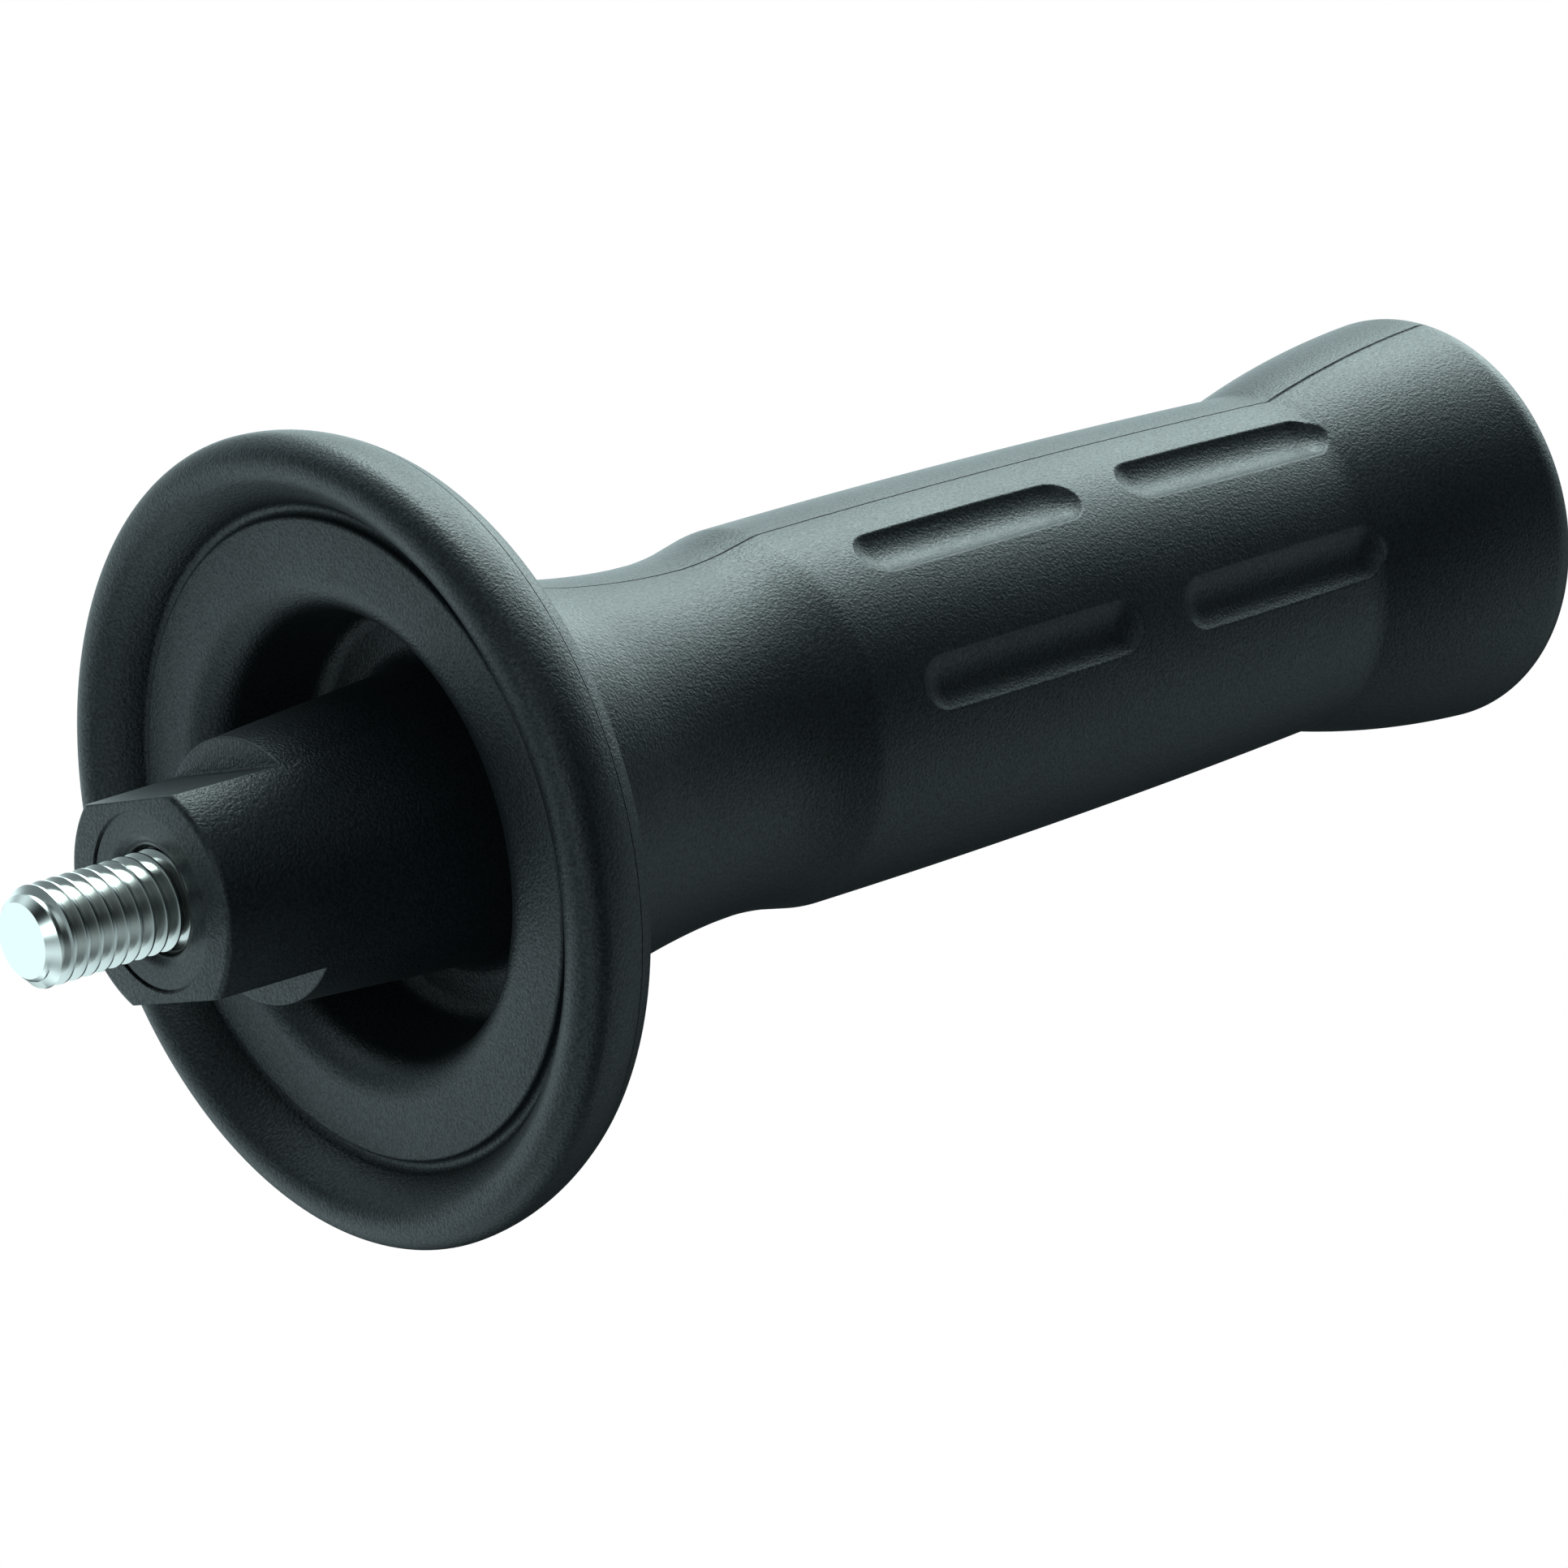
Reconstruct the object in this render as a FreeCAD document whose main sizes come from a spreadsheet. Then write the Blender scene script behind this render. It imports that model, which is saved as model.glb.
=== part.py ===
"""Side handle of a power tool: glass-filled nylon moulded round a threaded stud.

The handle stands on its rear end. Its axis is Z, the stud points up, and the origin is the centre of
the rear end. The moulding's parting plane is XZ. Lengths are in millimetres and angles in degrees.
Places along the handle are measured back from the hub face, as the moulding's drawing would.
"""
import FreeCAD, Part
import math
import os
import Sketcher
from FreeCAD import Placement, Rotation, Vector

SIZES = {
    # the whole handle
    "handle_length": 145.0,
    # hub: a cone with two spanner flats
    "hub_radius": 10.0,
    "hub_taper": 4.4,
    "hub_edge": 0.5,
    "across_flats": 16.0,
    "flat_length": 9.7,
    "flat_angle": 21.2,
    # cup round the hub
    "cup_depth": 30.0,
    "cup_mouth_radius": 18.4,
    "cup_wall_lean": 1.1,
    "cup_round_share": 0.48,
    "mouth_round_share": 0.43,
    # guard flange: a flat face, a narrow valley and a rolled rim
    "guard_radius": 33.0,
    "face_setback": 19.35,
    "rim_width": 6.9,
    "valley_width": 0.8,
    "valley_depth": 1.15,
    "valley_round": 0.25,
    "rim_front_setback": 15.1,
    "rim_flank_crown": 8.0,
    "rim_front_round": 2.24,
    "guard_back_setback": 23.6,
    "rim_back_round": 2.5,
    # neck: its root spreads over a share of the guard's overhang
    "neck_root_share": 0.283,
    "neck_root_round_share": 0.625,
    "neck_front_setback": 45.8,
    "neck_front_step": 0.98,
    "neck_front_bend": 60.0,
    "neck_back_setback": 56.1,
    "neck_back_step": 1.21,
    "neck_back_bend": 24.0,
    # barrel
    "barrel_setback": 61.9,
    "barrel_front_radius": 16.12,
    "barrel_bend": 6.0,
    "barrel_crown": 1150.0,
    "crease_height": 22.6,
    "crease_step": 0.96,
    # flare
    "flare_crown": 92.0,
    "flare_step": 3.34,
    "end_round": 3.5,
    # hollow behind the neck, open at the rear end
    "hollow_setback": 44.0,
    "barrel_wall": 4.72,
    "hollow_draft": 0.8,
    "hollow_round": 2.0,
    "mouth_depth": 19.0,
    "mouth_step": 2.0,
    "mouth_lip": 5.1,
    "mouth_draft": 0.8,
    "end_edge": 0.6,
    "rib_thickness": 2.0,
    "rib_bite": 0.8,
    # grip slots: the shape of a round-ended rod sunk into the barrel
    "slot_rod_radius": 2.7,
    "slot_lift": 0.8,
    "slot_front_margin": 5.55,
    "slot_gap": 5.05,
    "slot_overrun": 0.7,
    "front_slot_rise": 0.03,
    "front_slot_tilt": 0.3,
    "back_slot_drop": 0.54,
    "back_slot_tilt": 1.8,
    "last_row_angle": 68.5,
    "row_pitch": 45.0,
    "rows_a_side": 2,
    "sides": 2,
    # round mark in the hub face, left by the mould's pin that holds the stud
    "pin_mark_radius": 7.14,
    "pin_mark_depth": 0.12,
    "root_depth": 1.6,
    "root_round": 0.8,
    # stud
    "stud_radius": 4.0,
    "stud_blank_radius": 3.6,
    "stud_reach": 12.0,
    "thread_start": 0.3,
    "thread_runout": 0.4,
    "stud_end_edge": 1.0,
    "stud_clearance": 0.15,
    "stud_hex": 9.6,
    "stud_hex_front": 13.0,
    "stud_hex_back": 29.0,
    "stud_waist_front": 20.0,
    "stud_waist_back": 22.5,
}

# how near two places lie that are the same one, and how near a corner its edge is looked for
SAME_PLACE = 1e-4
RING_SEARCH = 0.02
HEXAGON_SIDES = 6


class Term:
    """A length worked out from the sheet: its value now, and the formula that binds it."""

    def __init__(self, value, text):
        self.value = value
        self.text = text

    def _with(self, other, sign, value):
        return Term(value, f"({self.text} {sign} {other.text})")

    def __add__(self, other):
        other = as_term(other)
        return self._with(other, "+", self.value + other.value)

    def __sub__(self, other):
        other = as_term(other)
        return self._with(other, "-", self.value - other.value)

    def __mul__(self, other):
        other = as_term(other)
        return self._with(other, "*", self.value * other.value)

    def __truediv__(self, other):
        other = as_term(other)
        return self._with(other, "/", self.value / other.value)

    def __neg__(self):
        return as_term(0.0) - self


def as_term(thing):
    """A plain number becomes a term of its own."""
    if isinstance(thing, Term):
        return thing
    return Term(float(thing), repr(float(thing)))


def size(name):
    """The named size of the sheet, as a term."""
    return Term(SIZES[name], f"Sizes.{name}")


def tangent(name):
    """The tangent of the named angle of the sheet."""
    return Term(math.tan(math.radians(SIZES[name])), f"tan(Sizes.{name} * 1deg)")


def back(name):
    """The height of a place that is measured back from the hub face."""
    return size("handle_length") - size(name)


def make_sheet(doc):
    """The spreadsheet of driving dimensions, one named cell a row."""
    sheet = doc.addObject("Spreadsheet::Sheet", "Sizes")
    for row, (name, value) in enumerate(SIZES.items(), start=1):
        sheet.set(f"A{row}", name)
        sheet.set(f"B{row}", str(value))
        sheet.setAlias(f"B{row}", name)
    doc.recompute()
    return sheet


def origin_feature(body, role):
    """One of the body's own origin planes or axes."""
    for feature in body.Origin.OriginFeatures:
        if feature.Role == role:
            return feature
    raise ValueError(role)


def new_sketch(body, name, role, height=None, turn=None):
    """A sketch on one of the body's origin planes, lifted to a height and turned about its normal."""
    sketch = body.newObject("Sketcher::SketchObject", name)
    sketch.AttachmentSupport = (origin_feature(body, role), "")
    sketch.MapMode = "FlatFace"
    if height is not None:
        sketch.AttachmentOffset = Placement(Vector(0, 0, height.value), Rotation())
        sketch.setExpression("AttachmentOffset.Base.z", height.text)
    if turn is not None:
        spun = Rotation(Vector(0, 0, 1), turn.value)
        sketch.AttachmentOffset = Placement(sketch.AttachmentOffset.Base, spun)
        sketch.setExpression("AttachmentOffset.Rotation.Angle", turn.text)
    return sketch


class Corner:
    """A corner of an outline, and the crown radius of the edge that leaves it, if that edge bulges."""

    def __init__(self, across, up, crown=None):
        self.across = as_term(across)
        self.up = as_term(up)
        self.crown = crown

    def point(self):
        return Vector(self.across.value, self.up.value, 0)


def crowned_edge(first, last, radius):
    """An arc between two corners that bulges to the left of the way from one to the other."""
    way = last - first
    left = Vector(-way.y, way.x, 0).normalize()
    half = way.Length / 2
    centre = first + way * 0.5 - left * (radius * radius - half * half) ** 0.5
    return Part.Arc(first, centre + left * radius, last)


def end_at(sketch, edge, point):
    """Which end of the edge lies at the point: 1 is its start and 2 its end."""
    return 1 if (sketch.getPoint(edge, 1) - point).Length < SAME_PLACE else 2


def bind(sketch, index, term):
    """Binds a dimension of the sketch to its formula."""
    sketch.setExpression(f"Constraints[{index}]", term.text)


def draw_outline(sketch, corners):
    """One closed outline through the corners, each held at its two measures from the sheet."""
    base = sketch.GeometryCount
    count = len(corners)
    origin = -1
    for index, corner in enumerate(corners):
        first = corner.point()
        last = corners[(index + 1) % count].point()
        if corner.crown is None:
            sketch.addGeometry(Part.LineSegment(first, last), False)
        else:
            sketch.addGeometry(crowned_edge(first, last, corner.crown.value), False)
    for index, corner in enumerate(corners):
        edge = base + index
        before = base + (index - 1) % count
        near = end_at(sketch, edge, corner.point())
        far = end_at(sketch, before, corner.point())
        sketch.addConstraint(Sketcher.Constraint("Coincident", before, far, edge, near))
        for kind, term in (("DistanceX", corner.across), ("DistanceY", corner.up)):
            held = Sketcher.Constraint(kind, origin, 1, edge, near, term.value)
            bind(sketch, sketch.addConstraint(held), term)
        if corner.crown is not None:
            held = Sketcher.Constraint("Radius", edge, corner.crown.value)
            bind(sketch, sketch.addConstraint(held), corner.crown)


def block_corners(half_width, half_height):
    """The corners of a rectangle centred on the sketch's origin."""
    return [
        Corner(-half_width, -half_height), Corner(half_width, -half_height),
        Corner(half_width, half_height), Corner(-half_width, half_height),
    ]


def revolve(body, name, sketch, kind="PartDesign::Revolution"):
    """The sketch turned once round its own upright axis, added or cut away."""
    feature = body.newObject(kind, name)
    feature.Profile = sketch
    feature.ReferenceAxis = (sketch, ["V_Axis"])
    feature.Angle = 360
    body.Document.recompute()
    return feature


def extrude(body, name, sketch, length, kind="PartDesign::Pad"):
    """The sketch drawn out along its normal, or a pocket cut against it, by a length from the sheet."""
    feature = body.newObject(kind, name)
    feature.Profile = sketch
    feature.Length = length.value
    feature.setExpression("Length", length.text)
    body.Document.recompute()
    return feature


def spots_on(edge):
    """The ends of an edge and its middle."""
    middle = edge.valueAt((edge.FirstParameter + edge.LastParameter) / 2)
    return [vertex.Point for vertex in edge.Vertexes] + [middle]


def reach(spot):
    """How far a point lies from the handle's axis."""
    return math.hypot(spot.x, spot.y)


def edges_where(shape, holds):
    """The names of the edges whose ends and middle all pass the test."""
    return [
        f"Edge{index}" for index, edge in enumerate(shape.Edges, start=1)
        if all(holds(spot) for spot in spots_on(edge))
    ]


def round_edges(body, name, names, radius, kind="PartDesign::Fillet"):
    """Rounds or chamfers the named edges of the body's last feature."""
    base = body.Tip
    if not names:
        raise ValueError(f"no edge for {name}")
    feature = body.newObject(kind, name)
    feature.Base = (base, names)
    field = "Size" if kind == "PartDesign::Chamfer" else "Radius"
    setattr(feature, field, radius.value)
    feature.setExpression(field, radius.text)
    body.Document.recompute()
    return feature


def round_ring(body, name, corner, radius, kind="PartDesign::Fillet"):
    """Rounds the edge that runs round the axis at one corner of the profile."""
    across = corner.across.value
    up = corner.up.value
    names = edges_where(
        body.Tip.Shape, lambda spot: math.hypot(reach(spot) - across, spot.z - up) < RING_SEARCH)
    return round_edges(body, name, names, radius, kind)


def crease_radius():
    """The barrel's radius where the flare begins."""
    return size("barrel_front_radius") - size("crease_step")


def hollow_radius():
    """The hollow's radius at its foot."""
    return size("barrel_front_radius") - size("barrel_wall")


def turn_moulding(doc):
    """The turned part of the moulding: hub, cup, guard, neck, barrel, flare and the hollow inside."""
    body = doc.addObject("PartDesign::Body", "Moulding")
    length = size("handle_length")
    mark = length - size("pin_mark_depth")
    root = length - size("root_depth")
    root_radius = size("stud_radius") + size("stud_clearance")
    root_edge = Corner(root_radius, mark)

    floor = back("cup_depth")
    face = back("face_setback")
    face_radius = size("guard_radius") - size("rim_width")
    mouth_radius = size("cup_mouth_radius")
    hub_foot = Corner(size("hub_radius") + size("cup_depth") * tangent("hub_taper"), floor)
    cup_foot = Corner(mouth_radius - size("cup_wall_lean"), floor)
    cup_mouth = Corner(mouth_radius, face)
    cup_round = (cup_foot.across - hub_foot.across) * size("cup_round_share")
    mouth_round = (face_radius - mouth_radius) * size("mouth_round_share")

    valley_floor = face - size("valley_depth")
    valley_in = Corner(face_radius, valley_floor)
    rim_foot = Corner(face_radius + size("valley_width"), valley_floor, size("rim_flank_crown"))
    rim_front = Corner(size("guard_radius"), back("rim_front_setback"))
    rim_back = Corner(size("guard_radius"), back("guard_back_setback"))

    front_radius = size("barrel_front_radius")
    neck_front = Corner(front_radius - size("neck_front_step"), back("neck_front_setback"))
    neck_back = Corner(front_radius - size("neck_back_step"), back("neck_back_setback"))
    spread = (size("guard_radius") - neck_front.across) * size("neck_root_share")
    neck_root = Corner(neck_front.across + spread, back("guard_back_setback"))
    root_round = (size("guard_radius") - neck_root.across) * size("neck_root_round_share")

    barrel = Corner(front_radius, back("barrel_setback"), size("barrel_crown"))
    crease = Corner(crease_radius(), size("crease_height"), size("flare_crown"))
    end = Corner(crease_radius() + size("flare_step"), 0)
    mouth = Corner(end.across - size("mouth_lip"), 0)
    mouth_top = Corner(mouth.across - size("mouth_draft"), size("mouth_depth"))
    hollow_foot = Corner(hollow_radius(), size("mouth_depth") + size("mouth_step"))
    hollow_top = Corner(hollow_radius() - size("hollow_draft"), back("hollow_setback"))

    sketch = new_sketch(body, "Profile", "XZ_Plane")
    draw_outline(sketch, [
        Corner(0, root), Corner(root_radius, root),
        root_edge, Corner(size("pin_mark_radius"), mark), Corner(size("pin_mark_radius"), length),
        Corner(size("hub_radius"), length), hub_foot, cup_foot, cup_mouth,
        Corner(face_radius, face), valley_in, rim_foot, rim_front, rim_back,
        neck_root, neck_front, neck_back, barrel, crease, end,
        mouth, mouth_top, hollow_foot, hollow_top, Corner(0, hollow_top.up),
    ])
    revolve(body, "Turned", sketch)
    rounds = (
        ("RimFront", rim_front, size("rim_front_round")),
        ("RimBack", rim_back, size("rim_back_round")),
        ("NeckFrontBend", neck_front, size("neck_front_bend")),
        ("NeckBackBend", neck_back, size("neck_back_bend")),
        ("BarrelBend", barrel, size("barrel_bend")),
        ("NeckRoot", neck_root, root_round),
        ("ValleyInside", valley_in, size("valley_round")),
        ("ValleyOutside", rim_foot, size("valley_round")),
        ("CupMouth", cup_mouth, mouth_round),
        ("CupWallFoot", cup_foot, cup_round),
        ("HubFoot", hub_foot, cup_round),
        ("RearEnd", end, size("end_round")),
        ("HollowTop", hollow_top, size("hollow_round")),
        ("MouthEdge", mouth, size("end_edge")),
        ("StudRootEdge", root_edge, size("root_round")),
    )
    for name, corner, radius in rounds:
        round_ring(body, name, corner, radius)
    return body


def cut_flats(body):
    """Two spanner flats on the front of the hub, turned away from the parting plane."""
    outside = size("hub_radius") * 2
    half = size("across_flats") / 2
    top = size("handle_length")
    sketch = new_sketch(body, "FlatsSketch", "XY_Plane", height=top, turn=size("flat_angle"))
    for near, far in ((half, outside), (-half, -outside)):
        draw_outline(sketch, [
            Corner(near, -outside), Corner(far, -outside), Corner(far, outside), Corner(near, outside)])
    extrude(body, "SpannerFlats", sketch, size("flat_length"), "PartDesign::Pocket")
    inside = SIZES["pin_mark_radius"] + RING_SEARCH
    names = edges_where(
        body.Tip.Shape, lambda spot: abs(spot.z - top.value) < SAME_PLACE and reach(spot) > inside)
    round_edges(body, "HubEdge", names, size("hub_edge"))


def add_ribs(body):
    """Two crossed ribs in the hollow, from its top down to the wider mouth."""
    foot = size("mouth_depth") + size("mouth_step")
    height = back("hollow_setback") - foot
    half = size("rib_thickness") / 2
    arm = hollow_radius() + size("rib_bite")
    for name, wide, deep in (("AcrossRib", arm, half), ("AlongRib", half, arm)):
        sketch = new_sketch(body, f"{name}Sketch", "XY_Plane", height=foot)
        draw_outline(sketch, block_corners(wide, deep))
        extrude(body, name, sketch, height)


def row_plane(body):
    """The upright plane through the handle's axis and the last row of slots."""
    plane = body.newObject("PartDesign::Plane", "RowPlane")
    plane.AttachmentSupport = (origin_feature(body, "XZ_Plane"), "")
    plane.MapMode = "FlatFace"
    turn = -size("last_row_angle")
    plane.AttachmentOffset = Placement(Vector(), Rotation(Vector(0, 1, 0), turn.value))
    plane.setExpression("AttachmentOffset.Rotation.Yaw", "0")
    plane.setExpression("AttachmentOffset.Rotation.Pitch", turn.text)
    plane.setExpression("AttachmentOffset.Rotation.Roll", "0")
    return plane


def slot_length():
    """The length of the rod that makes a slot: two of them and a gap share the barrel."""
    barrel = back("barrel_setback") - size("crease_height")
    taken = size("slot_front_margin") + size("slot_gap") - size("slot_overrun")
    return (barrel - taken) / 2


def sink_slot(body, plane, name, surface, up, tilt):
    """One slot: a round-ended rod, sunk along the surface, leaves its shape in the barrel."""
    out = surface + size("slot_lift")
    lean = -size(tilt)
    rod = size("slot_rod_radius")
    half = slot_length() / 2
    sketch = body.newObject("Sketcher::SketchObject", f"{name}Sketch")
    sketch.AttachmentSupport = (plane, "")
    sketch.MapMode = "FlatFace"
    sketch.AttachmentOffset = Placement(
        Vector(out.value, up.value, 0), Rotation(Vector(0, 0, 1), lean.value))
    sketch.setExpression("AttachmentOffset.Base.x", out.text)
    sketch.setExpression("AttachmentOffset.Base.y", up.text)
    sketch.setExpression("AttachmentOffset.Rotation.Yaw", lean.text)
    sketch.setExpression("AttachmentOffset.Rotation.Pitch", "0")
    sketch.setExpression("AttachmentOffset.Rotation.Roll", "0")
    draw_outline(sketch, [
        Corner(0, half, rod), Corner(rod, half - rod), Corner(rod, rod - half, rod), Corner(0, -half)])
    return revolve(body, name, sketch, "PartDesign::Groove")


def cut_slots(body):
    """The slots: a front and a back one a row, two rows a side, on both sides of the handle."""
    plane = row_plane(body)
    radius = size("barrel_front_radius")
    half = slot_length() / 2
    front = back("barrel_setback") - size("slot_front_margin") - half
    rear = size("crease_height") - size("slot_overrun") + half
    slots = [
        sink_slot(body, plane, "FrontSlot", radius + size("front_slot_rise"), front, "front_slot_tilt"),
        sink_slot(body, plane, "BackSlot", radius - size("back_slot_drop"), rear, "back_slot_tilt"),
    ]
    pattern = body.newObject("PartDesign::MultiTransform", "SlotRows")
    pattern.Originals = slots
    steps = []
    for name, turn, count in (
            ("RowPair", size("row_pitch"), size("rows_a_side")),
            ("BothSides", as_term(360), size("sides"))):
        step = body.newObject("PartDesign::PolarPattern", name)
        step.Axis = (origin_feature(body, "Z_Axis"), [""])
        step.Angle = turn.value
        step.Occurrences = int(count.value)
        if turn.text.startswith("Sizes"):
            step.setExpression("Angle", turn.text)
        step.setExpression("Occurrences", count.text)
        steps.append(step)
    pattern.Transformations = steps
    body.Tip = pattern
    body.Document.recompute()


def make_stud(doc):
    """The stud: the thread's cylinder, its run-out, a neck, and a grooved hexagon that holds it."""
    body = doc.addObject("PartDesign::Body", "Stud")
    radius = size("stud_radius")
    blank = size("stud_blank_radius")
    thread_foot = size("handle_length") + size("thread_start")
    tip = size("handle_length") + size("stud_reach")
    hex_front = back("stud_hex_front")
    hex_back = back("stud_hex_back")
    waist_front = back("stud_waist_front")
    waist_back = back("stud_waist_back")
    outside = size("stud_hex")
    sketch = new_sketch(body, "ShankProfile", "XZ_Plane")
    draw_outline(sketch, [
        Corner(0, hex_front), Corner(blank, hex_front), Corner(blank, thread_foot - size("thread_runout")),
        Corner(radius, thread_foot), Corner(radius, tip), Corner(0, tip)])
    revolve(body, "Shank", sketch)
    round_ring(body, "ShankChamfer", Corner(radius, tip), size("stud_end_edge"), "PartDesign::Chamfer")
    sketch = new_sketch(body, "HexagonSketch", "XY_Plane", height=hex_back)
    half = size("stud_hex") / 2
    corner = half * math.tan(math.pi / HEXAGON_SIDES)
    draw_outline(sketch, [
        Corner(half, -corner), Corner(half, corner), Corner(0, corner * 2),
        Corner(-half, corner), Corner(-half, -corner), Corner(0, -corner * 2)])
    extrude(body, "Hexagon", sketch, hex_front - hex_back)
    sketch = new_sketch(body, "WaistProfile", "XZ_Plane")
    draw_outline(sketch, [
        Corner(blank, waist_back), Corner(outside, waist_back),
        Corner(outside, waist_front), Corner(blank, waist_front)])
    revolve(body, "Waist", sketch, "PartDesign::Groove")
    return body


def check_state(doc):
    """Stops if a feature failed."""
    for feature in doc.Objects:
        if "Invalid" in feature.State or "Error" in feature.State:
            raise ValueError(f"{feature.Name} did not compute")


def main():
    doc = FreeCAD.newDocument("SideHandle")
    make_sheet(doc)
    moulding = turn_moulding(doc)
    cut_flats(moulding)
    add_ribs(moulding)
    cut_slots(moulding)
    stud = make_stud(doc)
    stud.Label = "threaded_stud"
    handle = doc.addObject("Part::Cut", "Handle")
    handle.Base = moulding
    handle.Tool = stud
    handle.Label = "handle_body"
    doc.recompute()
    check_state(doc)
    os.makedirs("parts", exist_ok=True)
    for piece in (handle, stud):
        shape = piece.Shape
        if shape.isNull() or not shape.isValid() or len(shape.Solids) != 1:
            raise ValueError(f"{piece.Label} is not one sound solid")
        print(piece.Label, "volume", round(shape.Volume), "mm3, faces", len(shape.Faces))
        shape.exportStep(f"parts/{piece.Label}.step")


main()
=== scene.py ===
# %% [markdown]
# A power tool side handle. It screws into the gear case of a hand-held tool and steadies it. Grip,
# hand guard and hub are one black nylon moulding, and the nylon was moulded round a bright threaded
# stud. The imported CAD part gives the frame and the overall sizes. This script makes both pieces
# again, with the thread, the soft rounds and the finishes that the plain solids lack.

# %% Frame
import math

import bmesh
import bpy
from mathutils import Matrix, Vector


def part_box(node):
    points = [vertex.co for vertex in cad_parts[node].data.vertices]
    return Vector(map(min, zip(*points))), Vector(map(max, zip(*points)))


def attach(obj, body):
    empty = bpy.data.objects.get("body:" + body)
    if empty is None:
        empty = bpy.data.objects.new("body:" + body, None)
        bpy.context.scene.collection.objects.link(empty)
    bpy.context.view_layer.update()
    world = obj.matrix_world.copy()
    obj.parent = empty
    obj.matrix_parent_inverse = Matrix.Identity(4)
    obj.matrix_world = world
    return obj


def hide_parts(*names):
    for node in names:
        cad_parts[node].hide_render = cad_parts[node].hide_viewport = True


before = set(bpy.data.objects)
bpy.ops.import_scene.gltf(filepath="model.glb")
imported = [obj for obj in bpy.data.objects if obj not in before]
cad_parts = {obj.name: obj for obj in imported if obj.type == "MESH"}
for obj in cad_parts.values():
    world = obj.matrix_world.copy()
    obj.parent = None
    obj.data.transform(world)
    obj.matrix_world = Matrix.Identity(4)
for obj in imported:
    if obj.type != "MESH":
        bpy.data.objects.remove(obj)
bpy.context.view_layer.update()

# %% [markdown]
# The handle stands on its rear end, with the stud up. All sizes are the real ones in millimetres,
# and become metres only where a mesh or a material needs them. Places along the handle are measured
# back from the hub face, because that is the face the handle seats on, so one small function turns
# such a setback into a height. The length and the guard's radius are read from the CAD part.

# %% Sizes
MM = 0.001
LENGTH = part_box("handle_body")[1][2] / MM
GUARD_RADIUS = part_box("handle_body")[1][0] / MM


def back(setback):
    """The height of a place that is measured back from the hub face."""
    return LENGTH - setback


print("moulding:", round(LENGTH, 2), "mm long, guard radius", round(GUARD_RADIUS, 2), "mm")

# %% [markdown]
# Most of this handle is round about one axis, so it could be stacked from cylinders and cones and
# then bevelled. A profile that is turned in one go is better: every wall meets the next one without
# a seam, and each round gets its own radius. Corners are listed as across, up and round. A short
# round is a vertex bevel on the profile, whose offset is the tangent length of its radius, and a
# long crown is a row of corners on a true arc, because a bevel would flatten it.

# %% Arcs
def crown_centre(first, last, radius):
    """The centre of an arc between two places that bulges to the left of the way."""
    start = Vector(first)
    way = Vector(last) - start
    left = Vector((-way.y, way.x)).normalized()
    return start + way / 2 - left * math.sqrt(radius**2 - way.length_squared / 4)


def arc(centre, first, last, spacing=0.5):
    """Corners on the shorter arc round a centre, from one place to another, with both ends."""
    start = Vector(first) - centre
    sweep = (Vector(last) - centre).angle_signed(start)
    steps = max(2, math.ceil(abs(sweep) * start.length / spacing))
    spots = [centre + Matrix.Rotation(sweep * step / steps, 2) @ start for step in range(steps + 1)]
    return [(spot.x, spot.y, 0) for spot in spots]


quarter = arc(Vector((0, 0)), (1, 0), (0, 1))
print("a quarter circle of 1 mm radius takes", len(quarter), "corners")

# %% Turning
SEAM = 1e-7
ROUND_SPACING = 0.25
LEAST_SEGMENTS = 5


def turned(corners, steps):
    """A bmesh turned from corners in millimetres; the first and the last lie on the axis."""
    mesh = bmesh.new()
    verts = [mesh.verts.new((across * MM, 0, up * MM)) for across, up, _ in corners]
    for first, last in zip(verts, verts[1:]):
        mesh.edges.new((first, last))
    for vert, (_, _, radius) in zip(verts, corners):
        if radius:
            turn = vert.calc_edge_angle()
            segments = max(LEAST_SEGMENTS, round(radius * turn / ROUND_SPACING))
            bmesh.ops.bevel(
                mesh, geom=[vert], offset=radius * math.tan(turn / 2) * MM, offset_type="OFFSET",
                segments=segments, profile=0.5, affect="VERTICES", material=-1)
    bmesh.ops.spin(
        mesh, geom=mesh.verts[:] + mesh.edges[:], cent=(0, 0, 0), axis=(0, 0, 1),
        angle=math.tau, steps=steps, use_merge=True)
    bmesh.ops.remove_doubles(mesh, verts=mesh.verts[:], dist=SEAM)
    bmesh.ops.recalc_face_normals(mesh, faces=mesh.faces[:])
    return mesh


# %% [markdown]
# A finished bmesh becomes an object at the origin, because the export and the materials expect each
# piece's place to be in its mesh. Moulded faces run smoothly into each other, and only an edge that
# turns by more than 30 degrees is a real edge, so shading is smooth with sharp edges by angle.

# %% Objects
SHARP_ANGLE = math.radians(30)


def shade(data):
    """Smooth shading that stops at the real edges."""
    data.shade_smooth()
    data.set_sharp_from_angle(angle=SHARP_ANGLE)


def as_object(mesh, name):
    """The bmesh as an object in the scene."""
    data = bpy.data.meshes.new(name)
    mesh.to_mesh(data)
    mesh.free()
    thing = bpy.data.objects.new(name, data)
    bpy.context.scene.collection.objects.link(thing)
    shade(data)
    return thing


# %% [markdown]
# The hub is a slim cone that carries the stud, and a deep cup round it saves nylon. The mould's pin
# that holds the stud leaves a shallow step in the hub face, and the nylon sinks softly towards the
# stud there. The profile starts on the axis, at the bottom of that dip, and comes up over the face,
# down the cone and out of the cup to the guard's flat face.

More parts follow.
